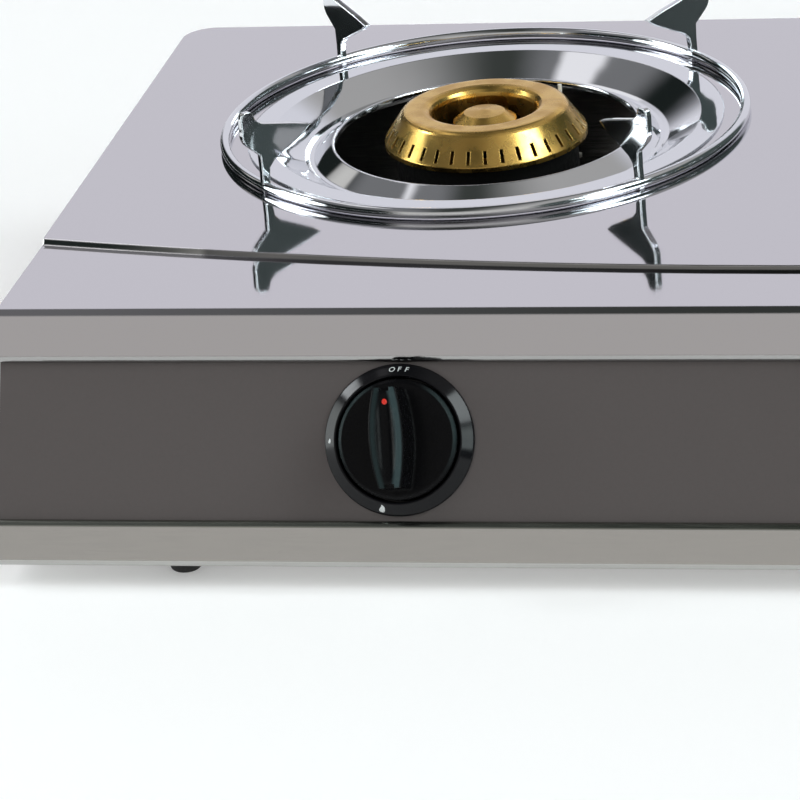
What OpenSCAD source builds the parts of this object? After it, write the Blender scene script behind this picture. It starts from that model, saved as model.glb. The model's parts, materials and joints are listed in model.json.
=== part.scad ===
// Two-burner tabletop gas stove, in millimetres.
// +X is right as seen from the front, +Y is towards the back and +Z is up.
// The origin is at foot level, under the middle of the stove.

/* [Body] */
// Width of the top plate
body_w = 700; // [660:10:800]
// Depth of the top plate, from its front edge to its back
deck_depth = 345; // [340:5:420]
// Thickness of the steel sheet
sheet = 1; // [0.8:0.1:1.2]
// Lean of the front panel away from upright, in degrees
panel_lean = 26; // [16:1:28]
// Height of the top plate's front band, along the slope
upper_band = 21; // [18:1:26]
// Height of the dark panel that shows between the two steel bands
dark_band = 63.6; // [62:0.2:72]
// Height of the shell's lower front band
lower_band = 20; // [16:1:26]
// Depth of the dark panel behind the two bands
panel_recess = 3.5; // [3.2:0.1:5]
// Radius of the bend at the top plate's front edge
bend_r = 4; // [3:0.5:6]
// Radius of the rolled edges beside the dark panel
lip_r = 3; // [2.5:0.1:3.1]
// Radius of the top plate's side and back edges
edge_r = 3; // [2:0.5:4]
// Radius of the top plate's back corners, seen from above
corner_r = 14; // [8:1:24]
// Height of the top plate above its front edge, behind the curved step
deck_step = 1.4; // [0.8:0.1:3]
// Fall of the front strip from the front edge to the step, in degrees
strip_fall = 0.7; // [0:0.1:1.2]
// Distance from the front edge to the step, at the middle
step_mid = 41; // [30:1:60]
// Radius of the curved step, seen from above
step_r = 1750; // [1200:50:3000]
// Gap between the shell and the top plate's skirt
skirt_gap = 0.2; // [0.1:0.1:0.5]

/* [Feet] */
// Height of the shell's floor above the table
foot_h = 10; // [8:1:16]
// Radius of a foot at the floor
foot_r = 8; // [7:0.5:12]
// Radius of the face that a foot stands on
foot_tip_r = 4.5; // [3.5:0.5:6]
// Distance of the feet from the middle
foot_x = 275; // [240:1:290]
// Distance of a front foot behind the bottom front edge
foot_front_inset = 23; // [18:1:40]
// Distance of a back foot in front of the back
foot_back_inset = 40; // [30:1:60]

/* [Controls] */
// Distance of each knob from the middle
knob_x = 182; // [160:1:200]
// Distance of the knob's axis from the front edge, down the slope
knob_drop = 52.2; // [50:0.2:56]
// Radius of the bezel
bezel_r = 30.6; // [29:0.1:31]
// Height of the bezel's inner edge above the dark panel
bezel_h = 4.6; // [4:0.1:5.6]
// Radius of the knob's disc
knob_r = 24.3; // [22:0.1:25]
// Gap between the disc and the bezel
knob_gap = 0.6; // [0.4:0.1:1]
// Height of the disc's face above the dark panel
knob_face = 6.2; // [5.6:0.1:8]
// Length of the grip
grip_len = 40; // [34:1:42]
// Width of the grip at its middle
grip_w = 14; // [12:0.5:16]
// Width of the grip at its ends
grip_end_w = 9; // [8:0.5:10]
// Height of the grip above the disc's face
grip_h = 21; // [14:1:22]
// Turn of the left knob past its OFF mark, in degrees, from the play of its valve
off_play = 4; // [0:1:6]
// Travel of the knob when it is pushed
push_travel = 4; // [3:0.5:4.5]
// Radius of the valve stem
stem_r = 4; // [3.5:0.1:4.5]
// Running clearance around turning and sliding shafts
shaft_gap = 0.05; // [0.03:0.01:0.08]

/* [Burners] */
// Distance of each burner from the middle
burner_x = 184.5; // [180:0.5:200]
// Distance of the burners behind the front edge
burner_y = 209.5; // [200:0.5:222]
// Radius of the top plate's burner holes
deck_hole_r = 95.5; // [94:0.5:98]
// Width of the drip bowl's rim that lies on the top plate
bowl_lap = 9; // [6:0.5:11]
// Radius of the drip bowl's middle hole
bowl_hole_r = 65.8; // [60:0.1:68]
// Depth of the hole's rim below the top plate
bowl_rim_depth = 2.9; // [2.5:0.1:7]
// Radius of the drip bowl's lowest line
trough_r = 77; // [72:0.5:82]
// Depth of the lowest line below the top plate
trough_depth = 10; // [8:0.5:14]
// Radius of the outer burner cap
cap_r = 44.5; // [40:0.5:46]
// Depth of the cap's lower edge below the top plate
cap_low = 6; // [5:0.5:10]
// Height of the cap's crown above the top plate
cap_top = 9; // [6:0.5:12]
// Number of flame slots in the outer cap
cap_slots = 36; // [24:2:48]
// Number of flame slots in the inner cap
inner_slots = 12; // [8:2:16]
// Width of a flame slot
slot_w = 1.6; // [1:0.1:2]
// Radius of the inner burner cap
inner_cap_r = 14; // [12:0.5:16]

/* [Pan supports] */
// Radius of the rod
rod_r = 2.3; // [2:0.1:3]
// Distance from the drip bowl's rim to the middle of the rod
ring_out = 9.5; // [6:0.5:11]
// Number of prongs
prongs = 4; // [3:1:6]
// Thickness of a prong
prong_t = 2.6; // [2:0.1:4]
// Height of a prong's arm above the top plate, at the ring
arm_top = 31.6; // [28:0.2:34]
// Height of the horn at a prong's outer end
horn_top = 37.8; // [36:0.2:42]
// Length of a prong's arm, from the ring to its inner tip
arm_len = 24.5; // [18:0.5:30]
// Reach of the horn outside the ring
horn_reach = 9.8; // [8:0.2:12]

/* [Gas path] */
// Height of the mixing tubes' axis above the table
tube_z = 50; // [48:1:52]
// Outer radius of a mixing tube
tube_r = 13; // [12:0.5:14]
// Wall of the castings
cast_wall = 3; // [2.5:0.1:3.5]
// Outer radius of the burner's ring channel
channel_r = 40; // [38:0.5:40]
// Inner radius of the burner's ring channel
channel_in_r = 22; // [20:0.5:24]
// Radius of the gas pipe
pipe_r = 7; // [6:0.5:8]
// Height of the gas pipe's axis above the table
pipe_z = 23; // [22:1:27]
// Radius of the valve body
valve_r = 13; // [12:0.5:14]
// Radius of the hose tail, over its shank and its barbs
tail_r = 4.75; // [4:0.05:5]
// Length of the hose tail's plain shank
tail_len = 14; // [12:1:20]

/* [Hidden] */
$fn = 96;
LEFT = -1;
RIGHT = 1;
SIDES = [LEFT, RIGHT];
cut = 1;                 // overrun of a cutter past the face it cuts
seat_gap = 0.3;          // air beside or under a round piece that lifts off its seat
lip_gap = 0.1;           // air between the dark panel and the edges that it lies behind or covers

// Heights and lengths of the case
panel_len = upper_band + dark_band + lower_band;
edge_z = foot_h + panel_len * cos(panel_lean);
deck_z = edge_z + deck_step;
out_angle = 180 - panel_lean;
bend_steps = 8;
step_run = 0.5;
bend_t = bend_r * tan(45 - panel_lean / 2);
strip_back = 80;
strip_low = edge_z - (strip_back - bend_t) * tan(strip_fall);
floor_bend_r = 2.5;
floor_bend_t = floor_bend_r * tan(45 + panel_lean / 2);
lip_s = upper_band + dark_band;
shell_top = strip_low - sheet;
// A point of the front slope: s down from the front edge, h outward from the steel bands
function slope(s, h = 0) = [-s * sin(panel_lean) - h * cos(panel_lean),
    edge_z - s * cos(panel_lean) + h * sin(panel_lean)];
rim_z = slope(upper_band, -panel_recess)[1];
shell_w = body_w - 2 * (sheet + skirt_gap);
shell_back = deck_depth - sheet - skirt_gap;
floor_front = slope(panel_len)[0];
tail_nut = 6;
tail_barbs = 8;
tail_end = shell_back + tail_nut + tail_len + tail_barbs;
// The grip's lower front corner and the hose tail's end are the stove's limits in Y
grip_crown_r = 150;
grip_end_drop = grip_crown_r - sqrt(grip_crown_r * grip_crown_r - grip_len * grip_len / 4);
front_reach = -slope(knob_drop + grip_len / 2, knob_face + grip_h - grip_end_drop - panel_recess)[0];
edge_y = (front_reach - tail_end) / 2;

// The gas path, from the valve to the burner
valve_front = -8;
valve_back = -50;
axis_mid = slope(knob_drop, (valve_front + valve_back) / 2 - panel_recess);
// The pipe lies under the valve's middle, or as far in front of it as the clamp's top needs
clamp_half = pipe_r + 3;
valve_low = knob_drop + valve_r;
clamp_room = (edge_z - valve_low * cos(panel_lean) - pipe_z - 2) / sin(panel_lean);
pipe_y = min(axis_mid[0], clamp_room * cos(panel_lean) - valve_low * sin(panel_lean) - clamp_half);
outlet_y = slope(knob_drop, valve_back - panel_recess)[0] + 10;
outlet_r = 8;
nozzle_r = 5;
shutter_y = outlet_y + 9;
shutter_t = 1.5;
tube_front = shutter_y + shutter_t + 0.3;
mouth_r = tube_r + 4;
channel_floor = tube_z + tube_r + cast_wall;
channel_top = deck_z - cap_low;
riser_r = 12;
seat_screw_x = 31;
bowl_r = deck_hole_r + bowl_lap;
ring_r = bowl_r + ring_out;
bracket_half = 46;
bracket_w = 30;
foot_y_front = floor_front + foot_front_inset;
foot_y_back = deck_depth - foot_back_inset;

function arc(cx, cy, r, a0, a1, n = 6) =
    [for (i = [0:n]) [cx + r * cos(a0 + (a1 - a0) * i / n), cy + r * sin(a0 + (a1 - a0) * i / n)]];

// Everything is drawn from the top plate's front edge and moved onto the origin once
module stove() translate([0, edge_y, 0]) children();
// A drawing in Y and Z, pushed out along X
module along_x(w) rotate([90, 0, 90]) translate([0, 0, -w / 2]) linear_extrude(w) children();
// A drawing in X and Z, pushed out from y0 to y1
module along_y(y0, y1) translate([0, y1, 0]) rotate([90, 0, 0]) linear_extrude(y1 - y0) children();
// Local Z is the knob's axis, out of the dark panel's face
module at_knob(side) {
    p = slope(knob_drop, -panel_recess);
    translate([side * knob_x, p[0], p[1]]) rotate([90 - panel_lean, 0, 0]) children();
}
// The same, turned with the valve's shaft
module at_shaft(side) at_knob(side) rotate(side == LEFT ? off_play : 0) children();
module at_burner(side) translate([side * burner_x, burner_y, 0]) children();
module tube(r, r_in, h) difference() {
    cylinder(r = r, h = h);
    translate([0, 0, -cut]) cylinder(r = r_in, h = h + 2 * cut);
}

// Case
module plan(w, d, r) {
    front = floor_front - bezel_r;
    translate([-w / 2, front]) square([w, d - r - front]);
    translate([-w / 2 + r, front]) square([w - 2 * r, d - front]);
    for (x = [-1, 1]) translate([x * (w / 2 - r), d - r]) circle(r);
}
module across(w, top, r) {
    translate([-w / 2, 0]) square([w, top - r]);
    translate([-w / 2 + r, 0]) square([w - 2 * r, top]);
    for (x = [-1, 1]) translate([x * (w / 2 - r), top - r]) circle(r);
}
// The side view of the top plate, or of the space inside it when t is the sheet
module deck_profile(t) {
    lip = slope(upper_band - lip_r, -lip_r);
    open = t > 0 ? cut : 0;
    lip_end = lip_gap - panel_recess;
    polygon(concat(
        [[deck_depth - t, rim_z - open], [deck_depth - t, strip_low - t], [strip_back, strip_low - t]],
        arc(bend_t, edge_z - bend_r, bend_r - t, 90 - strip_fall, out_angle, bend_steps),
        arc(lip[0], lip[1], lip_r - t, out_angle, out_angle + 90, bend_steps),
        t > 0 ? [slope(upper_band - t, lip_end), slope(upper_band + cut, lip_end)]
              : [slope(upper_band, -panel_recess)]));
}
module deck_solid(t) intersection() {
    step_h = deck_z - rim_z + cut;
    union() {
        along_x(body_w - 2 * t) deck_profile(t);
        intersection() {
            translate([-body_w / 2 + t, 0, rim_z])
                cube([body_w - 2 * t, deck_depth - t, deck_z - rim_z - t]);
            translate([0, step_mid + step_r, rim_z - cut])
                cylinder(r1 = step_r + step_h * step_run - t, r2 = step_r - t, h = step_h, $fn = 256);
        }
    }
    linear_extrude(deck_z + cut) plan(body_w - 2 * t, deck_depth - t, corner_r - t);
    along_y(floor_front - bezel_r, deck_depth + cut) across(body_w - 2 * t, deck_z - t, edge_r - t);
}
screw_y = [60, deck_depth / 2, deck_depth - 50];
screw_x = [-200, 0, 200];
screw_z = rim_z + 7;
screw_r = 1.75;
module case_screw_places() {
    for (s = SIDES, y = screw_y)
        translate([s * body_w / 2, y, screw_z]) rotate([0, s * 90, 0]) children();
    for (x = screw_x)
        translate([x, deck_depth, screw_z]) rotate([-90, 0, 0]) children();
}
module top_plate() color([0.73, 0.73, 0.76]) stove() difference() {
    deck_solid(0);
    deck_solid(sheet);
    for (s = SIDES) at_burner(s) translate([0, 0, edge_z - 10]) cylinder(r = deck_hole_r, h = 20);
    case_screw_places() translate([0, 0, -sheet - cut])
        cylinder(r = screw_r + 0.2, h = sheet + 2 * cut, $fn = 32);
}
module case_screws() color([0.7, 0.7, 0.7]) stove() case_screw_places() {
    translate([0, 0, -8]) cylinder(r = screw_r, h = 8.2, $fn = 32);
    difference() {
        cylinder(r1 = 3.4, r2 = 2.4, h = 1.8, $fn = 32);
        for (a = [0, 90]) rotate(a) translate([-2, -0.4, 0.8]) cube([4, 0.8, 2]);
    }
}

// The side view of the shell, and of the space inside it
shell_lip = slope(lip_s + lip_r, -lip_r);
shell_heel = slope(panel_len - floor_bend_t, -floor_bend_r);
module shell_outside() polygon(concat(
    [[shell_back, foot_h], [shell_back, shell_top], slope_at(shell_top, -panel_recess - sheet),
     slope(lip_s, -panel_recess - sheet)],
    arc(shell_lip[0], shell_lip[1], lip_r, out_angle - 90, out_angle, bend_steps),
    arc(shell_heel[0], shell_heel[1], floor_bend_r, out_angle, 270, bend_steps)));
// The point of the slope at height z
function slope_at(z, h) = let (p = slope(0, h)) [p[0] - (p[1] - z) * tan(panel_lean), z];
module shell_inside() polygon(concat(
    [[shell_back - sheet, foot_h + sheet], [shell_back - sheet, edge_z + cut],
     slope_at(edge_z + cut, -panel_recess), slope(lip_s + sheet, -panel_recess)],
    arc(shell_lip[0], shell_lip[1], lip_r - sheet, out_angle - 90, out_angle, bend_steps),
    arc(shell_heel[0], shell_heel[1], floor_bend_r - sheet, out_angle, 270, bend_steps)));

// Air slots in the floor beside each burner, and in the back
floor_slot = [60, 6];
floor_slot_x = 48;
floor_slot_y = 62;
floor_slot_pitch = 18;
back_slot = [36, 5];
back_slot_z = foot_h + 40;
back_slot_pitch = 26;
foot_stud_r = 3;
tab_screw_x = bracket_half + 9;
screw_hole_r = 2.2;
module slot2d(size) {
    square([size[0] - size[1], size[1]], center = true);
    for (x = [-1, 1]) translate([x * (size[0] - size[1]) / 2, 0]) circle(size[1] / 2);
}
module body_shell() color([0.62, 0.62, 0.63]) stove() difference() {
    corner = corner_r - sheet - skirt_gap;
    through = sheet + 2 * cut;
    intersection() {
        along_x(shell_w) shell_outside();
        linear_extrude(deck_z) plan(shell_w, shell_back, corner);
    }
    intersection() {
        along_x(shell_w - 2 * sheet) shell_inside();
        linear_extrude(deck_z + 2 * cut) plan(shell_w - 2 * sheet, shell_back - sheet, corner - sheet);
    }
    for (s = SIDES, x = [-1, 1]) at_burner(s) {
        for (i = [-2:2]) translate([x * floor_slot_x, i * floor_slot_pitch + floor_slot_y, foot_h - cut])
            linear_extrude(through) slot2d(floor_slot);
        translate([x * tab_screw_x, 0, foot_h - cut]) cylinder(r = screw_hole_r, h = through, $fn = 32);
    }
    for (x = [-1, 1], i = [1:4]) translate([x * i * back_slot_pitch, shell_back + cut, back_slot_z])
        rotate([90, 0, 0]) linear_extrude(through) rotate(90) slot2d(back_slot);
    translate([0, shell_back + cut, pipe_z]) rotate([90, 0, 0]) cylinder(r = pipe_r + 0.1, h = through);
    for (s = SIDES, y = [foot_y_front, foot_y_back]) translate([s * foot_x, y, foot_h - cut])
        cylinder(r = foot_stud_r, h = through, $fn = 48);
    case_screw_places() translate([0, 0, -2 * sheet - skirt_gap - cut])
        cylinder(r = screw_r, h = through, $fn = 32);
}
// A rubber foot with a barbed stud that snaps into the floor
module foot(side, y) color([0.08, 0.08, 0.08]) stove() translate([side * foot_x, y, 0]) {
    barb_r = foot_stud_r + 1.6;
    stud_top = foot_h + sheet + 5;
    rotate_extrude() polygon(concat([[0, 0], [foot_tip_r, 0]], arc(foot_tip_r, 2, 2, -90, -20, 4),
        [[foot_r, foot_h - 1.5], [foot_r, foot_h], [foot_stud_r, foot_h], [foot_stud_r, foot_h + sheet],
         [barb_r, foot_h + sheet], [barb_r - 2.2, stud_top], [0, stud_top]]));
}
module front_panel() color([0.3, 0.27, 0.27]) stove() difference() {
    tuck = 5;
    top = upper_band - tuck;
    low = lip_s + tuck;
    in_h = -panel_recess - sheet;
    panel_return = 6;
    along_x(shell_w) polygon([slope(top, -panel_recess), slope(low, -panel_recess),
        slope(low, in_h - panel_return), slope(low - sheet, in_h - panel_return), slope(low - sheet, in_h),
        slope(top + sheet, in_h),
        slope(top + sheet, in_h - panel_return), slope(top, in_h - panel_return)]);
    for (s = [-1, 1]) translate([s * (shell_w / 2), 0, 0]) along_x(2 * (sheet + skirt_gap))
        polygon([slope(top - cut, in_h + lip_gap), slope(lip_s, in_h + lip_gap),
            slope(lip_s, cut - panel_recess), slope(low + cut, cut - panel_recess),
            slope(low + cut, in_h - panel_return - cut), slope(top - cut, in_h - panel_return - cut)]);
    for (s = SIDES) at_knob(s) translate([0, 0, -sheet - cut])
        cylinder(r = bezel_in_r + well_wall + 0.1, h = sheet + 2 * cut);
}

// Controls
bezel_in_r = knob_r + knob_gap;
well_depth = push_travel + 2;
well_wall = 1.5;
well_floor = 1;
well_hole_r = stem_r + 4.5;
// A ring with a shallow well behind it, in which the knob's disc moves
module bezel(side) color([0.03, 0.03, 0.03]) stove() at_knob(side) rotate_extrude() polygon(concat(
    [[bezel_r, 0]], arc(bezel_r - 0.8, 0.9, 0.8, 0, 60, 3),
    arc(bezel_in_r + 1, bezel_h - 0.8, 0.8, 70, 160, 4),
    [[bezel_in_r, well_floor - well_depth], [well_hole_r, well_floor - well_depth],
     [well_hole_r, -well_depth], [bezel_in_r + well_wall, -well_depth], [bezel_in_r + well_wall, 0]]));
module grip_plan(w, w_end, len) {
    bow = (w - w_end) / 2;
    r = (len * len / 4 + bow * bow) / (2 * bow);
    intersection() {
        translate([r - w / 2, 0]) circle(r, $fn = 256);
        translate([w / 2 - r, 0]) circle(r, $fn = 256);
        square([w, len], center = true);
    }
}
// A slim barrel along Y that scoops the grip's face
module grip_scoop() {
    mid = 5.4;
    end = 4.2;
    r = (grip_len * grip_len / 4 + (mid - end) * (mid - end)) / (2 * (mid - end));
    a = asin(grip_len / 2 / r);
    rotate([-90, 0, 0]) rotate_extrude() polygon(concat([[0, -grip_len / 2], [end, -grip_len / 2]],
        arc(mid - r, 0, r, -a, a, 10), [[end, grip_len / 2], [0, grip_len / 2]]));
}
hub_back = -3;
stem_top = 14;
// The stem's end, with a flat on one side
module flatted_stem(z0, z1) intersection() {
    translate([0, 0, z0]) cylinder(r = stem_r, h = z1 - z0);
    translate([-stem_r, -stem_r, z0]) cube([2 * stem_r, 2 * stem_r - 1.5, z1 - z0]);
}
module knob(side) color([0.02, 0.02, 0.02]) stove() at_shaft(side) difference() {
    top = knob_face + grip_h;
    chamfer = 1.4;
    union() {
        rotate_extrude() polygon([[0, 1], [knob_r, 1], [knob_r, knob_face - chamfer],
            [knob_r - chamfer, knob_face], [0, knob_face]]);
        difference() {
            intersection() {
                translate([0, 0, knob_face - 0.5])
                    linear_extrude(grip_h + 0.5) grip_plan(grip_w, grip_end_w, grip_len);
                translate([-grip_w, 0, top - grip_crown_r]) rotate([0, 90, 0])
                    cylinder(r = grip_crown_r, h = 2 * grip_w, $fn = 256);
            }
            translate([0, 0, top + 3.4]) grip_scoop();
            for (y = [-1, 1]) translate([-2, y * grip_len / 2 - 1.5, top - 3.6]) cube([4, 3, 5]);
        }
        translate([0, 0, hub_back]) cylinder(r = stem_r + 3, h = 1.5 - hub_back);
    }
    flatted_stem(hub_back - cut, stem_top);
}
stem_neck = -18;
stem_tip = -36;
neck_r = 3;
module valve_stem(side) color([0.75, 0.75, 0.77]) stove() at_shaft(side) {
    flatted_stem(hub_back, stem_top);
    translate([0, 0, stem_neck]) cylinder(r = stem_r, h = hub_back - stem_neck);
    translate([0, 0, stem_tip]) cylinder(r = neck_r, h = stem_neck - stem_tip);
}
plug_front = -25;
plug_back = -46;
plug_front_r = 8.5;
plug_back_r = 7;
plug_room = 0.5;
// A tapered plug that turns in the valve body; the stem slides in its bore
module valve_plug(side) color([0.8, 0.62, 0.28]) stove() at_shaft(side) difference() {
    translate([0, 0, plug_back]) cylinder(r1 = plug_back_r, r2 = plug_front_r, h = plug_front - plug_back);
    translate([0, 0, stem_tip - push_travel - 1]) cylinder(r = neck_r + shaft_gap, h = 30);
    translate([0, 0, plug_back + 2.5]) rotate([0, 90, 0]) cylinder(r = 1, h = 20, $fn = 32);
}
clamp_w = 16;
module valve_body(side) color([0.6, 0.6, 0.62]) stove() difference() {
    union() {
        at_knob(side) {
            translate([0, 0, valve_back]) cylinder(r = valve_r, h = valve_front - 4 - valve_back);
            translate([0, 0, valve_front - 5]) cylinder(r = stem_r + 3.5, h = 5);
        }
        translate([side * knob_x, pipe_y, pipe_z + 1]) cylinder(r = pipe_r + 1, h = axis_mid[1] - pipe_z - 1);
        at_tube(side, outlet_y - 18) cylinder(r = outlet_r, h = 18);
        translate([side * knob_x - clamp_w / 2, pipe_y - clamp_half, pipe_z + 1])
            cube([clamp_w, 2 * clamp_half, 9]);
    }
    at_knob(side) {
        translate([0, 0, plug_front]) cylinder(r = stem_r + shaft_gap, h = 40);
        translate([0, 0, plug_back - plug_room]) cylinder(r1 = plug_back_r + shaft_gap,
            r2 = plug_front_r + shaft_gap, h = plug_front - plug_back + plug_room);
    }
    translate([side * knob_x - 40, pipe_y, pipe_z]) rotate([0, 90, 0]) cylinder(r = pipe_r, h = 80);
    at_tube(side, outlet_y - nozzle_in - 2) cylinder(r = nozzle_r, h = nozzle_in + 4);
}
// The lower half of the clamp that holds the valve on the pipe
module pipe_clamp(side) color([0.66, 0.66, 0.68]) stove()
    translate([side * knob_x - clamp_w / 2, pipe_y, pipe_z]) rotate([90, 0, 90])
    linear_extrude(clamp_w) difference() {
        union() {
            circle(pipe_r + 2);
            translate([-clamp_half, -1]) square([2 * clamp_half, 2]);
        }
        circle(pipe_r);
        translate([-2 * pipe_r, 1]) square([4 * pipe_r, 2 * pipe_r]);
    }
igniter_w = 22;
igniter_len = 30;
igniter_back = -44;
igniter_at = valve_r + 9;
module igniter(side) color([0.1, 0.1, 0.1]) stove() at_knob(side) difference() {
    translate([-side * igniter_at - igniter_w / 2, -9, igniter_back])
        cube([igniter_w, igniter_w, igniter_len]);
    translate([0, 0, valve_back]) cylinder(r = valve_r, h = -valve_back);
}
// Everything on the mixing tube's axis: local Z runs to the back
module at_tube(side, y) translate([side * burner_x, y, tube_z]) rotate([-90, 0, 0]) children();
nozzle_in = 8;
module injector(side) color([0.83, 0.66, 0.3]) stove() at_tube(side, outlet_y - nozzle_in) difference() {
    union() {
        cylinder(r = nozzle_r, h = nozzle_in + tube_front - outlet_y + 8);
        translate([0, 0, nozzle_in]) cylinder(r = nozzle_r + 2.5, h = 5, $fn = 6);
    }
    translate([0, 0, -cut]) cylinder(r = 2, h = 30);
}
port_r = 3.1;
port_at = (nozzle_r + mouth_r - cast_wall) / 2 + 0.5;
module ports() for (a = [0:90:270])
    rotate(a) translate([port_at, 0, -cut]) cylinder(r = port_r, h = 6, $fn = 48);
// A round plate with four air ports; turned by its tab, it covers those of the mixing tube
module air_shutter(side) color([0.6, 0.6, 0.6]) stove() at_tube(side, shutter_y) difference() {
    union() {
        cylinder(r = mouth_r, h = shutter_t);
        rotate(-side * 20) translate([-3, 0, 0]) cube([6, mouth_r + 5, shutter_t]);
    }
    translate([0, 0, -cut]) cylinder(r = nozzle_r + shaft_gap, h = 5);
    ports();
}
arm_angles = [30, 150, 270];
arm_z = channel_floor + 9;
arm_r = 6;
mouth_wall = 2.5;
// A casting: mixing tube with a narrow throat, riser, ring channel and the arms that feed it
module burner_body(side) color([0.16, 0.16, 0.16]) stove() difference() {
    len = burner_y + riser_r - tube_front;
    throat_r = tube_r - 2;
    bore_len = len - 6;
    union() {
        at_tube(side, tube_front) rotate_extrude() polygon([[0, 0], [mouth_r, 0], [mouth_r, 10],
            [throat_r, 34], [throat_r, 50], [tube_r, len], [0, len]]);
        at_burner(side) {
            translate([0, 0, tube_z]) cylinder(r = riser_r, h = channel_top - tube_z);
            translate([0, 0, channel_floor]) tube(channel_r, channel_in_r, channel_top - channel_floor);
            for (a = arm_angles) rotate(a) translate([riser_r - cast_wall, 0, arm_z])
                rotate([0, 90, 0]) cylinder(r = arm_r, h = channel_in_r - riser_r + 5);
        }
    }
    at_tube(side, tube_front + mouth_wall) rotate_extrude() polygon([[0, 0], [mouth_r - cast_wall, 0],
        [mouth_r - cast_wall, 7], [throat_r - cast_wall, 32], [throat_r - cast_wall, 48],
        [tube_r - cast_wall, bore_len], [0, bore_len]]);
    at_tube(side, tube_front) {
        translate([0, 0, -cut]) cylinder(r = nozzle_r + 0.1, h = 6);
        ports();
    }
    at_burner(side) {
        for (x = [-1, 1]) translate([x * seat_screw_x, 0, channel_floor - cut])
            cylinder(r = 2, h = 2 + cut, $fn = 32);
        translate([0, 0, tube_z]) cylinder(r = riser_r - cast_wall, h = deck_z);
        translate([0, 0, channel_floor + cast_wall])
            tube(channel_r - cast_wall, channel_in_r + cast_wall, deck_z);
        for (a = arm_angles) rotate(a) translate([0, 0, arm_z])
            rotate([0, 90, 0]) cylinder(r = arm_r - cast_wall + 0.2, h = channel_in_r + cast_wall + 1);
    }
}
bracket_t = 2;
bracket_tab = 18;
// A bent steel bridge that carries the casting
module burner_bracket(side) color([0.6, 0.6, 0.62]) stove() at_burner(side) difference() {
    top = channel_floor;
    low = foot_h + sheet;
    translate([0, bracket_w / 2, 0]) rotate([90, 0, 0]) linear_extrude(bracket_w) {
        translate([-bracket_half, top - bracket_t]) square([2 * bracket_half, bracket_t]);
        for (x = [-1, 1]) {
            translate([x * (bracket_half - bracket_t / 2) - bracket_t / 2, low])
                square([bracket_t, top - low]);
            translate([x * (bracket_half - bracket_t + bracket_tab / 2) - bracket_tab / 2, low])
                square([bracket_tab, bracket_t]);
        }
    }
    translate([0, 0, top - 5]) cylinder(r = riser_r + 1, h = 10);
    for (x = [-1, 1]) {
        translate([x * tab_screw_x, 0, foot_h]) cylinder(r = screw_hole_r, h = 5, $fn = 32);
        translate([x * seat_screw_x, 0, top - 5]) cylinder(r = screw_hole_r, h = 10, $fn = 32);
    }
}
screw_head_h = 2;
module bracket_screws() color([0.75, 0.75, 0.75]) stove() for (s = SIDES, x = [-1, 1]) at_burner(s) {
    translate([x * tab_screw_x, 0, foot_h]) screw(sheet + bracket_t + 3);
    translate([x * seat_screw_x, 0, channel_floor - bracket_t]) screw(bracket_t + 1.2);
}
// A pan-head screw that points up, with its head below the height it is placed at
module screw(len) {
    translate([0, 0, -screw_head_h]) cylinder(r1 = 3, r2 = 4, h = screw_head_h, $fn = 32);
    cylinder(r = 2, h = len, $fn = 32);
}

// Burner heads
cap_wall = 1.5;
spigot_h = 2;
// Local Z starts at the casting's top, where both caps rest
module at_head(side) at_burner(side) translate([0, 0, channel_top]) children();
// A ring cap: its spigots drop into the channel, and it rests on the channel's two walls
module outer_cap(side) color([0.83, 0.65, 0.28]) stove() at_head(side) difference() {
    top = cap_low + cap_top;
    spigot_in = channel_in_r + cast_wall + seat_gap;
    spigot_out = channel_r - cast_wall - seat_gap;
    rotate_extrude() polygon(concat(
        [[channel_in_r + 1, 0], [spigot_in, 0], [spigot_in, -spigot_h], [spigot_out, -spigot_h],
         [spigot_out, 0], [cap_r, 0]],
        arc(cap_r - 1, 1.8, 1, 0, 50, 3), arc(channel_r - 7, top - 5, 5, 40, 90, 4),
        arc(channel_in_r + 5, top - 4, 4, 90, 180, 4)));
    translate([0, 0, -spigot_h]) tube(spigot_out - cap_wall, spigot_in + cap_wall, spigot_h + 9);
    for (i = [0:cap_slots - 1]) rotate(i * 360 / cap_slots)
        translate([spigot_out - cap_wall - cut, -slot_w / 2, 3.2]) cube([12, slot_w, 5]);
}
// The middle cap: a plug that rests on the riser
module inner_cap(side) color([0.83, 0.65, 0.28]) stove() at_head(side) difference() {
    top = cap_low + cap_top - 2;
    plug_r = riser_r - cast_wall - seat_gap;
    rotate_extrude() polygon(concat(
        [[0, -2 * spigot_h], [plug_r, -2 * spigot_h], [plug_r, 0], [inner_cap_r, 0]],
        arc(inner_cap_r - 1, 8, 1, 0, 45, 2), [[inner_cap_r - 5, top - 1], [0, top]]));
    translate([0, 0, -2 * spigot_h - cut]) cylinder(r = plug_r - cap_wall, h = 10);
    for (i = [0:inner_slots - 1]) rotate(i * 360 / inner_slots)
        translate([plug_r - cap_wall - cut, -slot_w / 2, 2.5]) cube([12, slot_w, 3]);
}
electrode_at = cap_r + 7;
electrode_foot = channel_floor + 6;
electrode_angle = 120;
module electrode(side) color([0.9, 0.88, 0.84]) stove() at_burner(side)
    rotate(90 + side * (electrode_angle - 90)) translate([electrode_at, 0, 0]) {
    translate([channel_r - electrode_at, -5, electrode_foot]) difference() {
        cube([electrode_at - channel_r + 6, 10, 2]);
        translate([electrode_at - channel_r, 5, -cut]) cylinder(r = 2.5, h = 5, $fn = 48);
    }
    translate([0, 0, electrode_foot - 12]) cylinder(r = 2.5, h = deck_z - 6 - electrode_foot + 12, $fn = 48);
    translate([0, 0, deck_z - 6]) cylinder(r = 0.9, h = 8, $fn = 32);
}

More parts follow.
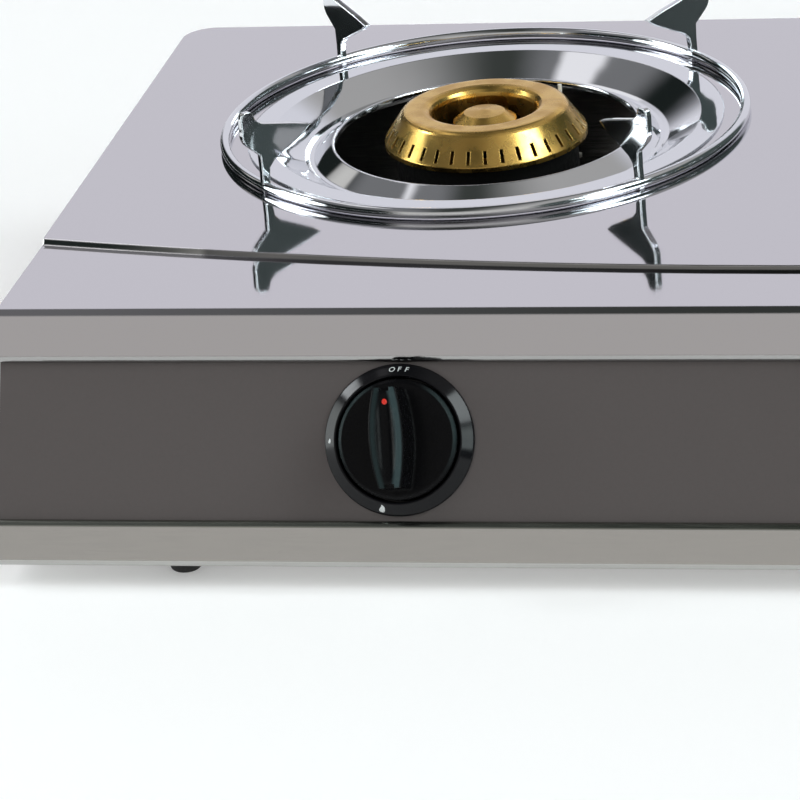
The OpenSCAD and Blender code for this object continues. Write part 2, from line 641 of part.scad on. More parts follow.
// The ignition lead runs from the igniter, along the floor, to the electrode's foot
wire_r = 1.5;
wire_sides = 8;
function wire_route(side) = let (y0 = outlet_y + 2,
    e = [side * (burner_x + electrode_at * cos(electrode_angle)),
         burner_y + electrode_at * sin(electrode_angle)]) [
    [side * (knob_x - 22), y0 - 6, 36], [side * (knob_x - 22), y0 + 4, 32],
    [side * (knob_x - 30), y0 + 20, 22], [side * (knob_x - 45), y0 + 45, 15],
    [side * (knob_x - 56), y0 + 80, 14], [side * (knob_x - 60), y0 + 120, 14],
    [side * (knob_x - 64), y0 + 165, 14], [side * (knob_x - 60), y0 + 200, 16],
    [e[0] - side * 14, e[1] - 2, 24], [e[0], e[1], 42], [e[0], e[1], electrode_foot - 12]];
// A point on a smooth curve through the route, t from 0 to 1 within span i
function route_at(p, i, t) =
    let (a = p[max(i - 1, 0)], b = p[i], c = p[i + 1], d = p[min(i + 2, len(p) - 1)])
    0.5 * (2 * b + t * (c - a) + t * t * (2 * a - 5 * b + 4 * c - d) + t * t * t * (3 * b - 3 * c + d - a));
function route_points(p, steps) =
    concat([for (i = [0:len(p) - 2], k = [0:steps - 1]) route_at(p, i, k / steps)], [p[len(p) - 1]]);
function unit(v) = v / norm(v);
module sweep(points, r, sides) {
    n = len(points);
    dirs = [for (i = [0:n - 1]) unit(points[min(i + 1, n - 1)] - points[max(i - 1, 0)])];
    rings = [for (i = [0:n - 1]) let (x = unit(cross(dirs[i], [1, 0.2, 0.1])), y = cross(dirs[i], x))
        [for (k = [0:sides - 1]) points[i] + r * (cos(360 * k / sides) * x + sin(360 * k / sides) * y)]];
    verts = [for (ring = rings) each ring];
    walls = [for (i = [0:n - 2], k = [0:sides - 1]) let (a = i * sides + k, b = i * sides + (k + 1) % sides)
        each [[a, b, b + sides], [a, b + sides, a + sides]]];
    start = [for (k = [0:sides - 1]) sides - 1 - k];
    end = [for (k = [0:sides - 1]) (n - 1) * sides + k];
    polyhedron(verts, concat(walls, [start, end]));
}
module ignition_wire(side) color([0.75, 0.2, 0.15]) stove()
    sweep(route_points(wire_route(side), 3), wire_r, wire_sides);

// Drip bowl: a rim that lies on the top plate, a sloping dish, a trough and a raised middle rim
module drip_bowl(side) color([0.8, 0.8, 0.82]) stove() at_burner(side) translate([0, 0, deck_z]) {
    t = 0.9;
    dish_r = deck_hole_r - 1;
    rotate_extrude($fn = 180) polygon(concat(
        [[bowl_r, 0], [bowl_r, t], [dish_r, t]],
        [[trough_r + 3, -trough_depth + 1.1 + t], [trough_r + 1, -trough_depth + 0.3 + t],
         [trough_r - 1, -trough_depth + 0.3 + t]],
        arc(bowl_hole_r + 1.4, -bowl_rim_depth - 0.9, 0.9, 60, 180, 4),
        [[bowl_hole_r + 0.5, -bowl_rim_depth - 2.4], [bowl_hole_r + 1.6, -bowl_rim_depth - 2.4],
         [trough_r - 1.5, -trough_depth - t + 0.6], [trough_r + 1.5, -trough_depth - t + 0.6],
         [trough_r + 3.6, -trough_depth + 1], [dish_r + 0.3, 0]]));
}

// Pan support: a rod ring with upright prongs. A prong's outline runs outward from the ring
prong_neck = rod_r - 0.5;
arm_rise = 7;
arm_depth = 3;
prong_knee = 12;
function prong_outline() = concat(
    [[-prong_neck, seat_gap], [prong_neck, seat_gap], [prong_neck - 0.3, prong_knee - 2],
     [prong_neck - 0.1, prong_knee + 5]],
    arc(horn_reach - 8, horn_top - 9.8, 8, -45, 10, 5),
    [[horn_reach, horn_top - 2.6], [horn_reach - 0.7, horn_top - 0.8], [horn_reach - 1.9, horn_top],
     [horn_reach - 4.7, horn_top], [horn_reach - 6, horn_top - 0.8]],
    arc(-3.4, arm_top + 6.6, 7.6, -35, -72, 4),
    [[-arm_len + 8, arm_top - 4.5], [-arm_len, arm_top - arm_rise],
     [-arm_len + 4, arm_top - arm_rise - arm_depth], [-prong_neck - 3, prong_knee + 1.6],
     [-prong_neck - 0.6, prong_knee - 1], [-prong_neck, prong_knee - 5]]);
module pan_support(side) color([0.78, 0.79, 0.8]) stove() at_burner(side) translate([0, 0, deck_z]) {
    rotate_extrude($fn = 180) translate([ring_r, rod_r + seat_gap]) circle(rod_r, $fn = 48);
    for (i = [0:prongs - 1]) rotate(45 + i * 360 / prongs) translate([ring_r, prong_t / 2, 0])
        rotate([90, 0, 0]) linear_extrude(prong_t) polygon(prong_outline());
}

// Gas pipe, from the two valves to the back
module gas_pipe() color([0.72, 0.72, 0.74]) stove() difference() {
    end = knob_x + 22;
    union() {
        translate([-end, pipe_y, pipe_z]) rotate([0, 90, 0]) cylinder(r = pipe_r, h = 2 * end);
        translate([0, pipe_y, pipe_z]) rotate([-90, 0, 0])
            cylinder(r = pipe_r, h = shell_back + tail_nut - 1 - pipe_y);
    }
    translate([-end + 3, pipe_y, pipe_z]) rotate([0, 90, 0]) cylinder(r = pipe_r - 1.5, h = 2 * end - 6);
    translate([0, pipe_y, pipe_z]) rotate([-90, 0, 0]) cylinder(r = pipe_r - 1.5, h = deck_depth + 20);
}
// A nut with a plain shank and two barbs that hold the hose
module hose_tail() color([0.83, 0.66, 0.3]) stove()
    translate([0, shell_back, pipe_z]) rotate([-90, 0, 0]) difference() {
    union() {
        cylinder(r = pipe_r + 4, h = tail_nut, $fn = 6);
        translate([0, 0, tail_nut]) cylinder(r = tail_r, h = tail_len);
        for (i = [0, 1]) translate([0, 0, tail_nut + tail_len + i * tail_barbs / 2])
            cylinder(r1 = tail_r, r2 = tail_r - 0.8, h = tail_barbs / 2);
    }
    translate([0, 0, -cut]) cylinder(r = pipe_r, h = tail_nut);
    cylinder(r = 3, h = tail_end);
}

top_plate();
body_shell();
front_panel();
case_screws();
foot(LEFT, foot_y_front);  // foot_front_left
foot(RIGHT, foot_y_front);  // foot_front_right
foot(LEFT, foot_y_back);  // foot_back_left
foot(RIGHT, foot_y_back);  // foot_back_right
gas_pipe();
hose_tail();
bracket_screws();
bezel(LEFT);  // bezel_left
bezel(RIGHT);  // bezel_right
knob(LEFT);  // knob_left
knob(RIGHT);  // knob_right
valve_stem(LEFT);  // valve_stem_left
valve_stem(RIGHT);  // valve_stem_right
valve_plug(LEFT);  // valve_plug_left
valve_plug(RIGHT);  // valve_plug_right
valve_body(LEFT);  // valve_body_left
valve_body(RIGHT);  // valve_body_right
pipe_clamp(LEFT);  // pipe_clamp_left
pipe_clamp(RIGHT);  // pipe_clamp_right
igniter(LEFT);  // igniter_left
igniter(RIGHT);  // igniter_right
ignition_wire(LEFT);  // ignition_wire_left
ignition_wire(RIGHT);  // ignition_wire_right
injector(LEFT);  // injector_left
injector(RIGHT);  // injector_right
air_shutter(LEFT);  // air_shutter_left
air_shutter(RIGHT);  // air_shutter_right
burner_body(LEFT);  // burner_body_left
burner_body(RIGHT);  // burner_body_right
burner_bracket(LEFT);  // burner_bracket_left
burner_bracket(RIGHT);  // burner_bracket_right
outer_cap(LEFT);  // outer_cap_left
outer_cap(RIGHT);  // outer_cap_right
inner_cap(LEFT);  // inner_cap_left
inner_cap(RIGHT);  // inner_cap_right
electrode(LEFT);  // electrode_left
electrode(RIGHT);  // electrode_right
drip_bowl(LEFT);  // drip_bowl_left
drip_bowl(RIGHT);  // drip_bowl_right
pan_support(LEFT);  // pan_support_left
pan_support(RIGHT);  // pan_support_right
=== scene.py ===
"""Two-burner tabletop gas stove: camera, studio, finishes and printed marks, in metres."""
import json
import math

import bpy
from mathutils import Matrix, Vector


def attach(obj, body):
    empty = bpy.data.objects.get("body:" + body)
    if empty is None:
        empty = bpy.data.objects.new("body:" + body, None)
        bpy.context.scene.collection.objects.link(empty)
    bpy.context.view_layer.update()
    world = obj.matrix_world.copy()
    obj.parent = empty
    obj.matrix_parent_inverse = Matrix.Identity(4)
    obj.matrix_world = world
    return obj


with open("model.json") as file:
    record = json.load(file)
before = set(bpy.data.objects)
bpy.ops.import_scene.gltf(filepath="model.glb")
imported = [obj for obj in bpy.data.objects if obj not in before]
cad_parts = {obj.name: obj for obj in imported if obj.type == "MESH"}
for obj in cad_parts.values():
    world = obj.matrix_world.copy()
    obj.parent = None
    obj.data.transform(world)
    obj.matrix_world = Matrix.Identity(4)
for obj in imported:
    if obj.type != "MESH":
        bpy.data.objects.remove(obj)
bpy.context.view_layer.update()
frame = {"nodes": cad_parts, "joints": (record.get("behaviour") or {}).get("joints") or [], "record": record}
scene = bpy.context.scene
joints = {joint["name"]: joint for joint in frame["joints"]}
SIDES = ("left", "right")
MM = 0.001

# Camera: turned to the right of the left knob, above it and slightly rolled
IMAGE = 800
SENSOR = 36.0
FOCAL_PIXELS = 5000
CAMERA_DISTANCE = 2.0
CAMERA_TURN = math.radians(13.14)
CAMERA_RISE = math.radians(23.28)
CAMERA_ROLL = math.radians(-5.19)
KNOB_BELOW_CENTRE = 40.1


def knob_place(side):
    """Where a knob's axis meets the panel."""
    return Vector(joints[f"valve_turn_{side}"]["pos_m"])


def make_camera():
    knob = knob_place("left")
    level = math.cos(CAMERA_RISE)
    back = Vector((math.sin(CAMERA_TURN) * level, -math.cos(CAMERA_TURN) * level, math.sin(CAMERA_RISE)))
    right = (-back).cross(Vector((0, 0, 1))).normalized()
    up = right.cross(-back)
    roll = Matrix.Rotation(CAMERA_ROLL, 3, back)
    right, up = roll @ right, roll @ up
    aim = Matrix.Rotation(math.atan(KNOB_BELOW_CENTRE / FOCAL_PIXELS), 3, right)
    data = bpy.data.cameras.new("camera")
    data.sensor_width = SENSOR
    data.lens = SENSOR * FOCAL_PIXELS / IMAGE
    camera = bpy.data.objects.new("camera", data)
    columns = Matrix((right, aim @ up, aim @ back)).transposed()
    camera.matrix_world = Matrix.Translation(knob + back * CAMERA_DISTANCE) @ columns.to_4x4()
    scene.collection.objects.link(camera)
    scene.camera = camera


# Node helpers
def connect(tree, socket, value):
    if isinstance(value, bpy.types.NodeSocket):
        tree.links.new(value, socket)
    else:
        socket.default_value = value


def add_node(tree, kind, settings=None, **inputs):
    node = tree.nodes.new("ShaderNode" + kind)
    for name, value in (settings or {}).items():
        setattr(node, name, value)
    for name, value in inputs.items():
        connect(tree, node.inputs[name.replace("_", " ")], value)
    return node


def calculate(tree, operation, first, second=0.0):
    node = add_node(tree, "Math", {"operation": operation})
    connect(tree, node.inputs[0], first)
    connect(tree, node.inputs[1], second)
    return node.outputs[0]


def multiply(tree, first, *others):
    product = first
    for value in others:
        product = calculate(tree, "MULTIPLY", product, value)
    return product


def ramp(tree, value, low, high, to_low=0.0, to_high=1.0):
    """A smooth change from to_low at low to to_high at high. Low may be the larger one."""
    return add_node(tree, "MapRange", {"interpolation_type": "SMOOTHSTEP"}, Value=value, From_Min=low,
                    From_Max=high, To_Min=to_low, To_Max=to_high).outputs[0]


def within(tree, value, start, end, edge):
    """1 from start to end, in either order, with soft edges on the inside."""
    toward = math.copysign(edge, end - start)
    return multiply(tree, ramp(tree, value, start, start + toward), ramp(tree, value, end, end - toward))


def mix_colors(tree, factor, first, second):
    return add_node(tree, "MixRGB", Fac=factor, Color1=first, Color2=second).outputs[0]


# Studio: the world's light by direction, with x to the right, y to the back and z up
BACK_LIGHT = (0.80, 0.79, 0.85, 1)
FRONT_LIGHT = (0.56, 0.545, 0.52, 1)
FRONT_TO_BACK = (-0.35, 0.35)
LEFT_WALL = (0.012, 0.016, 0.015, 1)
RIGHT_WALL = (0.07, 0.088, 0.084, 1)
LEFT_TO_RIGHT = (-0.2, 0.2)
SIDE_FROM = (0.4, 0.56)
CEILING_MIDDLE = (0.05, 0.055, 0.05, 1)
CEILING_LEFT = (0.2, 0.2, 0.205, 1)
CEILING_RIGHT = (0.44, 0.43, 0.42, 1)
CEILING_LEFT_FROM = (-0.14, -0.32)
CEILING_RIGHT_FROM = (-0.1, 0.34)
CEILING_FROM = (0.52, 0.7)
# Each soft box: the part of the directions that it fills, and its light
BOX_EDGE = 0.04
BOXES = [
    {"x": (-0.67, -0.87), "y": (0.04, 0.22), "z": (0.5, 0.76), "light": (13, 13.6, 14, 1)},
    {"x": (-0.64, -0.86), "y": (0.42, 0.8), "z": (0.4, 0.7), "light": (0.7, 0.68, 0.65, 1)},
    {"x": (-0.32, -0.5), "y": (0.07, 0.8), "z": (0.55, 0.97), "light": (1.0, 0.98, 1.0, 1)},
    {"x": (-0.86, -2), "y": (-0.5, 0.14), "z": (-0.25, 0.55), "light": (4.6, 4.9, 4.9, 1)},
    {"x": (0.55, 0.87), "y": (-0.34, 0.02), "z": (0.46, 0.84), "light": (9, 9.8, 10, 1)},
    {"x": (0.62, 0.91), "y": (-0.64, -0.3), "z": (0.1, 0.5), "light": (5, 5.7, 5.7, 1)},
]
FLOOR_REACH = 6.0
FLOOR_COLOR = (0.8, 0.8, 0.8)
FLOOR_ROUGHNESS = 0.7
FLOOR_GLOW = 0.25
KEY_POWER = 22
KEY_SIZE = 1.4
KEY_PLACE = Vector((-1.5, -1.6, 2.2))


def make_world():
    world = bpy.data.worlds.new("studio")
    world.use_nodes = True
    scene.world = world
    tree = world.node_tree
    direction = add_node(tree, "TexCoord").outputs["Generated"]
    x, y, z = add_node(tree, "SeparateXYZ", Vector=direction).outputs
    walls = mix_colors(tree, ramp(tree, y, *FRONT_TO_BACK), FRONT_LIGHT, BACK_LIGHT)
    side_walls = mix_colors(tree, ramp(tree, x, *LEFT_TO_RIGHT), LEFT_WALL, RIGHT_WALL)
    walls = mix_colors(tree, ramp(tree, calculate(tree, "ABSOLUTE", x), *SIDE_FROM), walls, side_walls)
    ceiling = mix_colors(tree, ramp(tree, x, *CEILING_LEFT_FROM), CEILING_MIDDLE, CEILING_LEFT)
    ceiling = mix_colors(tree, ramp(tree, x, *CEILING_RIGHT_FROM), ceiling, CEILING_RIGHT)
    color = mix_colors(tree, ramp(tree, z, *CEILING_FROM), walls, ceiling)
    for box in BOXES:
        sides = [within(tree, value, *box[axis], BOX_EDGE) for axis, value in (("x", x), ("y", y), ("z", z))]
        color = mix_colors(tree, multiply(tree, *sides), color, box["light"])
    connect(tree, tree.nodes["Background"].inputs["Color"], color)


def make_floor():
    mesh = bpy.data.meshes.new("floor")
    corners = [(x * FLOOR_REACH, y * FLOOR_REACH, 0) for x, y in ((-1, -1), (1, -1), (1, 1), (-1, 1))]
    mesh.from_pydata(corners, [], [(0, 1, 2, 3)])
    floor = bpy.data.objects.new("floor", mesh)
    scene.collection.objects.link(floor)
    material = plain_finish("floor", FLOOR_COLOR)
    shader = shader_of(material)
    shader.inputs["Roughness"].default_value = FLOOR_ROUGHNESS
    shader.inputs["Emission Color"].default_value = (1, 1, 1, 1)
    shader.inputs["Emission Strength"].default_value = FLOOR_GLOW
    mesh.materials.append(material)


def make_key_light():
    """A large lamp at the upper left that polished metal doesn't mirror."""
    key = bpy.data.lights.new("key", "AREA")
    key.energy = KEY_POWER
    key.size = KEY_SIZE
    lamp = bpy.data.objects.new("key", key)
    lamp.location = KEY_PLACE
    lamp.rotation_euler = (-KEY_PLACE).to_track_quat("-Z", "Y").to_euler()
    lamp.visible_glossy = False
    scene.collection.objects.link(lamp)


# Finishes: grain is how fine the pattern is, edge the radius in millimetres that catches light
NOISE_DETAIL = 3.0
PATTERN_SPREAD = (0.3, 0.7)
RELIEF_DEPTH = 0.0001
EDGE_SAMPLES = 6
FINISHES = {
    "polished_steel": dict(color=(0.61, 0.60, 0.625), metallic=1.0, grain=9, roughness=(0.035, 0.075),
                           edge=0.8),
    "satin_steel": dict(color=(0.58, 0.575, 0.56), metallic=1.0, grain=60, stretch=(1, 30, 30),
                        roughness=(0.16, 0.26), bump=0.02),
    "dark_paint": dict(color=(0.078, 0.068, 0.067), tint=(0.081, 0.07, 0.069), gloss=0.4, grain=700,
                       roughness=(0.29, 0.31)),
    "black_gloss": dict(color=(0.004, 0.004, 0.005), gloss=0.2, grain=40, roughness=(0.1, 0.18), edge=0.4),
    "black_plastic": dict(color=(0.003, 0.003, 0.0035), gloss=0.08, grain=300, roughness=(0.2, 0.3),
                          bump=0.03, edge=1.6),
    "rubber": dict(color=(0.02, 0.02, 0.02), grain=900, roughness=(0.7, 0.9), bump=0.2, edge=0.4),
    "chrome": dict(color=(0.74, 0.76, 0.79), metallic=1.0, grain=14, roughness=(0.03, 0.08), bump=0.25,
                   depth=0.0015, edge=0.8),
    "brass": dict(color=(0.72, 0.47, 0.13), tint=(0.62, 0.38, 0.10), metallic=1.0, grain=120,
                  roughness=(0.2, 0.34), bump=0.05, edge=0.4),
    "cast_iron": dict(color=(0.006, 0.006, 0.006), gloss=0.15, grain=500, roughness=(0.5, 0.75), bump=0.4,
                      edge=0.6),
    "aluminium": dict(color=(0.55, 0.55, 0.57), metallic=1.0, grain=500, roughness=(0.35, 0.5), bump=0.2,
                      edge=0.5),
    "zinc": dict(color=(0.56, 0.56, 0.54), tint=(0.6, 0.58, 0.52), metallic=1.0, grain=200,
                 roughness=(0.24, 0.4), edge=0.2),
    "ceramic": dict(color=(0.82, 0.8, 0.74), grain=200, roughness=(0.2, 0.32), edge=0.3),
    "silicone": dict(color=(0.42, 0.05, 0.03), grain=400, roughness=(0.45, 0.6)),
}
WHITE_INK = dict(color=(0.5, 0.54, 0.55), tint=(0.7, 0.71, 0.7), grain=2500, roughness=(0.45, 0.6))
RED_INK = dict(color=(0.75, 0.03, 0.015), tint=(0.6, 0.02, 0.01), grain=2500, roughness=(0.35, 0.5))


def shader_of(material):
    return material.node_tree.nodes["Principled BSDF"]


def plain_finish(name, color, metallic=0.0, gloss=0.5):
    material = bpy.data.materials.new(name)
    material.use_nodes = True
    shader = shader_of(material)
    shader.inputs["Base Color"].default_value = (*color, 1)
    shader.inputs["Metallic"].default_value = metallic
    shader.inputs["Specular IOR Level"].default_value = gloss
    return material


def tone_and_painted_light(material, place, color):
    """Changes the colour where place is 1: used for the random tone of a finish and for painted shade and
    highlights.
    """
    tree = material.node_tree
    socket = shader_of(material).inputs["Base Color"]
    plain = socket.links[0].from_socket if socket.links else tuple(socket.default_value)
    connect(tree, socket, mix_colors(tree, place, plain, color))


def soften_edges(material, radius):
    """Lets light catch a rounded edge of this radius."""
    tree = material.node_tree
    normal = shader_of(material).inputs["Normal"]
    rounded = add_node(tree, "Bevel", {"samples": EDGE_SAMPLES}, Radius=radius).outputs[0]
    connect(tree, normal.links[0].from_node.inputs["Normal"] if normal.links else normal, rounded)


def finish(name, color, roughness, grain, stretch=(1, 1, 1), tint=None, bump=0.0, depth=RELIEF_DEPTH,
           edge=0.0, **surface):
    """A material whose roughness, and if asked colour and relief, follow a fine pattern."""
    material = plain_finish(name, color, **surface)
    tree = material.node_tree
    shader = shader_of(material)
    place = add_node(tree, "TexCoord").outputs["Object"]
    stretched = add_node(tree, "Mapping", Vector=place, Scale=stretch).outputs[0]
    pattern = add_node(tree, "TexNoise", Vector=stretched, Scale=grain, Detail=NOISE_DETAIL).outputs["Fac"]
    connect(tree, shader.inputs["Roughness"], ramp(tree, pattern, *PATTERN_SPREAD, *roughness))
    if tint:
        tone_and_painted_light(material, ramp(tree, pattern, *PATTERN_SPREAD), (*tint, 1))
    if bump:
        relief = add_node(tree, "Bump", Strength=bump, Distance=depth, Height=pattern)
        connect(tree, shader.inputs["Normal"], relief.outputs[0])
    if edge:
        soften_edges(material, edge * MM)
    return material


# Places on the sloping front, in millimetres from a knob's axis on the panel
PANEL_LEAN = math.asin(joints["valve_turn_left"]["axis"][2])
RIGHT = Vector((1, 0, 0))
UP_SLOPE = Vector((0, math.sin(PANEL_LEAN), math.cos(PANEL_LEAN)))
OUT_OF_SLOPE = Vector((0, -math.cos(PANEL_LEAN), math.sin(PANEL_LEAN)))


def distance(tree, direction, side="left"):
    """How far a point lies from a knob's place along a direction, in millimetres."""
    offset = add_node(tree, "VectorMath", {"operation": "SUBTRACT"})
    connect(tree, offset.inputs[0], add_node(tree, "TexCoord").outputs["Object"])
    connect(tree, offset.inputs[1], tuple(knob_place(side)))
    measure = add_node(tree, "VectorMath", {"operation": "DOT_PRODUCT"})
    connect(tree, measure.inputs[0], offset.outputs[0])
    connect(tree, measure.inputs[1], tuple(direction))
    return calculate(tree, "DIVIDE", measure.outputs["Value"], MM)


def past_off(side):
    """The turn of a knob at rest past its OFF mark, about the axis out of the slope."""
    return Matrix.Rotation(-math.radians(joints[f"valve_turn_{side}"]["range_deg"][0]), 4, OUT_OF_SLOPE)


# Painted shade across the sloping front: darker strips that stand in for the dark reflections and shade at
# the folds, on the lip of the upper band, the lip of the lower band and the heel of the lower band
FRONT_FACE = (-2, -1)
STRIP_EDGE = 0.8
PAINTED_SHADE_STRIPS = [
    ("polished_steel", (30, 34), (0.38, 0.375, 0.37, 1)),
    ("satin_steel", (-35.6, -31.5), (0.34, 0.36, 0.32, 1)),
    ("satin_steel", (-60, -48.6), (0.44, 0.435, 0.42, 1)),
]


def painted_shade_strip(tree, low, high):
    """1 within a strip of painted shade, given by its heights up the slope, on the face of the front."""
    across_slope = within(tree, distance(tree, UP_SLOPE), low, high, STRIP_EDGE)
    return multiply(tree, across_slope, ramp(tree, distance(tree, OUT_OF_SLOPE), *FRONT_FACE))


# The knob's bowed grip: its top, the radius of its crown, half its width and the radius of its sides
GRIP_TOP = 27.2
GRIP_CROWN = 150
GRIP_HALF = 7
GRIP_SIDE = 81.25
# The painted highlight bands, as distances in from the grip's edge, and how much wider the right one is; the
# right one is painted brighter
BAND_STARTS = (0.2, 1.2)
BAND_ENDS = (3.6, 1.8)
BAND_WIDER = 0.8
HIGHLIGHT_LEFT = (0.014, 0.022, 0.023, 1)
HIGHLIGHT_RIGHT = (0.034, 0.052, 0.055, 1)
TOP_FACE = (GRIP_TOP - 2, GRIP_TOP - 1)
MIDDLE = (-1, 1)
# The painted highlight on the rim of the knob's disc, as distances from its middle, and where the highlight
# shows
RIM_STARTS = (22.5, 23.0)
RIM_ENDS = (24.4, 23.8)
RIM_SIDES = (8, 17)
RIM_UPPER = (-16, 6)
RIM_HIGHLIGHT = (0.02, 0.03, 0.031, 1)


def grip_painted_highlights(tree, side):
    """1 on the painted highlight bands along the two top edges of a knob's grip, and their painted highlight
    colour.
    """
    turn = past_off(side)
    along = distance(tree, turn @ UP_SLOPE, side)
    across = distance(tree, turn @ RIGHT, side)
    along_squared = multiply(tree, along, along)
    height = calculate(tree, "ADD", distance(tree, OUT_OF_SLOPE, side),
                       calculate(tree, "DIVIDE", along_squared, 2 * GRIP_CROWN))
    half = calculate(tree, "SUBTRACT", GRIP_HALF, calculate(tree, "DIVIDE", along_squared, 2 * GRIP_SIDE))
    inward = calculate(tree, "SUBTRACT", half, calculate(tree, "ABSOLUTE", across))
    at_right = ramp(tree, across, *MIDDLE)
    inner = calculate(tree, "SUBTRACT", inward, multiply(tree, at_right, BAND_WIDER))
    band = multiply(tree, ramp(tree, inward, *BAND_STARTS), ramp(tree, inner, *BAND_ENDS))
    color = mix_colors(tree, at_right, HIGHLIGHT_LEFT, HIGHLIGHT_RIGHT)
    return multiply(tree, band, ramp(tree, height, *TOP_FACE)), color


def disc_rim_highlight(tree, side):
    """1 on the painted highlight along the rim of a knob's disc, at its left and right."""
    up = distance(tree, UP_SLOPE, side)
    across = distance(tree, RIGHT, side)
    squares = calculate(tree, "ADD", multiply(tree, up, up), multiply(tree, across, across))
    reach = calculate(tree, "SQRT", squares)
    rim = multiply(tree, ramp(tree, reach, *RIM_STARTS), ramp(tree, reach, *RIM_ENDS))
    at_sides = ramp(tree, calculate(tree, "ABSOLUTE", across), *RIM_SIDES)
    return multiply(tree, rim, at_sides, ramp(tree, up, *RIM_UPPER))


# The top plate's step is an arc seen from above: its centre, radius, half width and soft edge
STEP_CENTRE = (0, 1630.97, 0)
STEP_RADIUS = 1750.35
STEP_HALF = 1.1
STEP_SOFT = 0.4
# Painted shade and highlight on the step's metal: darker on the front half from right to left, the back
# half, and a painted highlight at its left end
STEP_PAINTED_SHADE = (0.2, 0.2, 0.2, 1)
STEP_GREY = (0.42, 0.42, 0.43, 1)
STEP_BACK = (0.62, 0.61, 0.63, 1)
STEP_PAINTED_HIGHLIGHT = (1.0, 1.0, 1.0, 1)
STEP_GREY_FROM = (-38, -98)
STEP_BACK_FROM = (0, 0.5)
STEP_BRIGHT_FROM = (-93, -98)


def painted_step_shading(tree):
    """1 on the top plate's curved step, and the painted shade and highlight on it there."""
    place = add_node(tree, "TexCoord").outputs["Object"]
    from_above = add_node(tree, "Mapping", Vector=place, Scale=(1 / MM, 1 / MM, 0)).outputs[0]
    reach = add_node(tree, "VectorMath", {"operation": "DISTANCE"})
    connect(tree, reach.inputs[0], from_above)
    connect(tree, reach.inputs[1], STEP_CENTRE)
    inside = calculate(tree, "SUBTRACT", STEP_RADIUS, reach.outputs["Value"])
    across = distance(tree, RIGHT)
    color = mix_colors(tree, ramp(tree, across, *STEP_GREY_FROM), STEP_PAINTED_SHADE, STEP_GREY)
    color = mix_colors(tree, ramp(tree, inside, *STEP_BACK_FROM), color, STEP_BACK)
    color = mix_colors(tree, ramp(tree, across, *STEP_BRIGHT_FROM), color, STEP_PAINTED_HIGHLIGHT)
    off_line = calculate(tree, "ABSOLUTE", inside)
    return ramp(tree, off_line, STEP_HALF + STEP_SOFT, STEP_HALF - STEP_SOFT), color


def make_finishes():
    """The material of each slot, and of each knob by its node's name."""
    made = {slot: finish(slot, **look) for slot, look in FINISHES.items()}
    # Painted shade: darker strips at the folds of the sloping front
    for slot, heights, color in PAINTED_SHADE_STRIPS:
        tone_and_painted_light(made[slot], painted_shade_strip(made[slot].node_tree, *heights), color)
    # Painted shade and a painted highlight along the top plate's curved step
    tone_and_painted_light(made["polished_steel"], *painted_step_shading(made["polished_steel"].node_tree))
    for side in SIDES:
        plastic = made["black_plastic"].copy()
        plastic.name = f"knob_plastic_{side}"
        # Painted highlights on the grip's top edges and on the disc's rim
        tone_and_painted_light(plastic, *grip_painted_highlights(plastic.node_tree, side))
        tone_and_painted_light(plastic, disc_rim_highlight(plastic.node_tree, side), RIM_HIGHLIGHT)
        made[f"knob_{side}"] = plastic
    return made


def dress_nodes(finishes):
    for part in frame["record"]["subparts"]:
        node = frame["nodes"][part["node"]]
        if not node.material_slots:
            node.data.materials.append(None)
        for held in node.material_slots:
            held.material = finishes.get(part["node"], finishes[part["material_slot"]])


# Printed marks: the middle of the bezel's sloping face, out from the knob's axis and out of the panel
BEZEL_MIDDLE = (28.19 * MM, 3.07 * MM)
BEZEL_SLANT = math.radians(36.3)
MARK_LIFT = 0.03 * MM
LETTER_SIZE = 3.3 * MM
LETTER_STEP = math.radians(6.2)
LETTER_DEPTH = 0.02 * MM
LETTER_SLANT = 0.12
# Each flame mark: its name, its height and its place clockwise from the top
FLAMES = [("small_flame", 3.6 * MM, math.radians(-167)), ("large_flame", 2.0 * MM, math.radians(-91))]
# A flame's shape, in heights: its width, how wide its point stays and how far it leans
FLAME_STEPS = 24
FLAME_WIDTH = 0.48
FLAME_POINT = 0.25
FLAME_LEAN = 0.06
# The knob's painted dot: its radius, its dome in radii and its place up the slope and out of it
DOT_RADIUS = 1.15 * MM
DOT_DOME = 0.3
DOT_RINGS = 4
DOT_SIDES = 24
DOT_UP = 14.3 * MM
DOT_OUT = 25.9 * MM


def on_bezel(knob, angle):
    """The place on the bezel's sloping face, clockwise from the top, with its axes."""
    radial = RIGHT * math.sin(angle) + UP_SLOPE * math.cos(angle)
    along = RIGHT * math.cos(angle) - UP_SLOPE * math.sin(angle)
    outward = radial * math.cos(BEZEL_SLANT) - OUT_OF_SLOPE * math.sin(BEZEL_SLANT)
    normal = along.cross(outward)
    radius, height = BEZEL_MIDDLE
    centre = knob + radial * radius + OUT_OF_SLOPE * height + normal * MARK_LIFT
    return Matrix.Translation(centre) @ Matrix((along, outward, normal)).transposed().to_4x4()


def place_mark(piece, matrix, body, material):
    scene.collection.objects.link(piece)
    piece.matrix_world = matrix
    piece.data.materials.append(material)
    bpy.context.view_layer.update()
    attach(piece, body)


def letter(character, name):
    curve = bpy.data.curves.new(name, "FONT")
    curve.body = character
    curve.align_x, curve.align_y = "CENTER", "CENTER"
    curve.size = LETTER_SIZE
    curve.extrude = LETTER_DEPTH
    curve.shear = LETTER_SLANT
    return bpy.data.objects.new(name, curve)


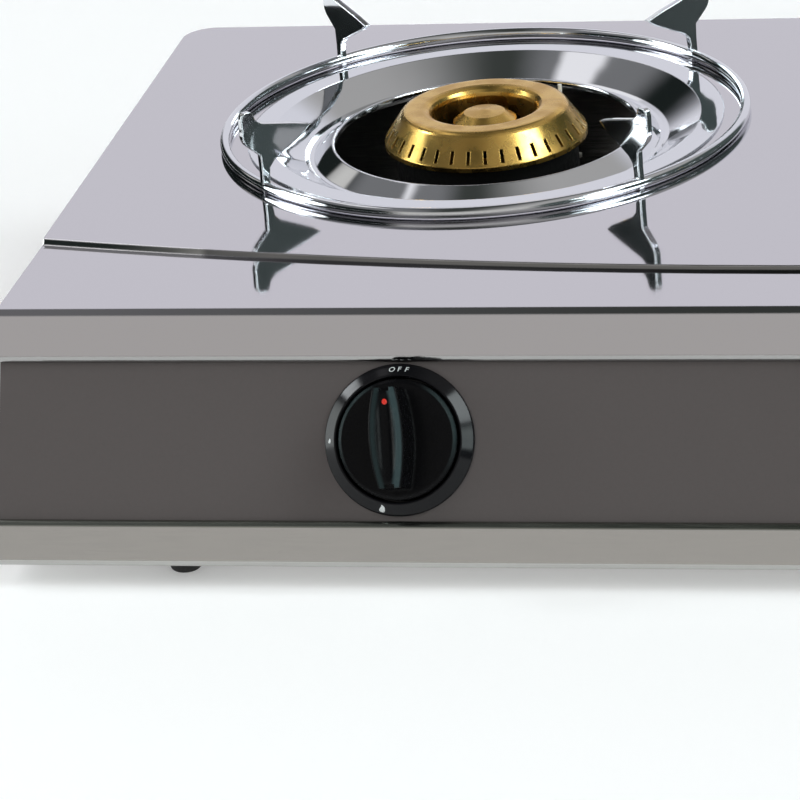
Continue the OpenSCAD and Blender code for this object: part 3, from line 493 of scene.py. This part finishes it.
def flame(name, height):
    """A flame outline: a drop with a slightly bent point at the top."""
    outline = []
    for step in range(FLAME_STEPS):
        turn = 2 * math.pi * step / FLAME_STEPS
        taper = FLAME_POINT + (1 - FLAME_POINT) * math.sin(turn / 2) ** 2
        lean = FLAME_LEAN * math.sin(math.pi * math.cos(turn))
        across = FLAME_WIDTH * math.sin(turn) * taper + lean
        outline.append((height * across, height / 2 * math.cos(turn), 0))
    mesh = bpy.data.meshes.new(name)
    mesh.from_pydata(outline, [], [tuple(reversed(range(FLAME_STEPS)))])
    return bpy.data.objects.new(name, mesh)


def pointer_dot(name):
    """A shallow painted dome."""
    verts = [(0, 0, DOT_DOME * DOT_RADIUS)]
    for ring in range(1, DOT_RINGS + 1):
        reach = ring / DOT_RINGS
        for side in range(DOT_SIDES):
            turn = 2 * math.pi * side / DOT_SIDES
            verts.append((DOT_RADIUS * reach * math.cos(turn), DOT_RADIUS * reach * math.sin(turn),
                          DOT_DOME * DOT_RADIUS * (1 - reach ** 2)))
    faces = [(0, 1 + side, 1 + (side + 1) % DOT_SIDES) for side in range(DOT_SIDES)]
    for ring in range(DOT_RINGS - 1):
        start = 1 + ring * DOT_SIDES
        for side in range(DOT_SIDES):
            after = (side + 1) % DOT_SIDES
            faces.append((start + side, start + DOT_SIDES + side, start + DOT_SIDES + after, start + after))
    mesh = bpy.data.meshes.new(name)
    mesh.from_pydata(verts, [], faces)
    for face in mesh.polygons:
        face.use_smooth = True
    return bpy.data.objects.new(name, mesh)


def mark_controls():
    white = finish("mark_white", **WHITE_INK)
    red = finish("mark_red", **RED_INK)
    slope_axes = Matrix((RIGHT, UP_SLOPE, OUT_OF_SLOPE)).transposed().to_4x4()
    for side in SIDES:
        knob = knob_place(side)
        for index, character in enumerate("OFF"):
            piece = letter(character, f"mark_{index}_{side}")
            place_mark(piece, on_bezel(knob, (index - 1) * LETTER_STEP), "body", white)
        for name, height, angle in FLAMES:
            upright = on_bezel(knob, angle) @ Matrix.Rotation(angle, 4, "Z")
            place_mark(flame(f"{name}_{side}", height), upright, "body", white)
        dot = past_off(side) @ Matrix.Translation(UP_SLOPE * DOT_UP + OUT_OF_SLOPE * DOT_OUT) @ slope_axes
        place_mark(pointer_dot(f"pointer_{side}"), Matrix.Translation(knob) @ dot, f"knob_{side}", red)


make_camera()
make_world()
make_floor()
make_key_light()
scene.view_settings.view_transform = "Standard"
dress_nodes(make_finishes())
mark_controls()
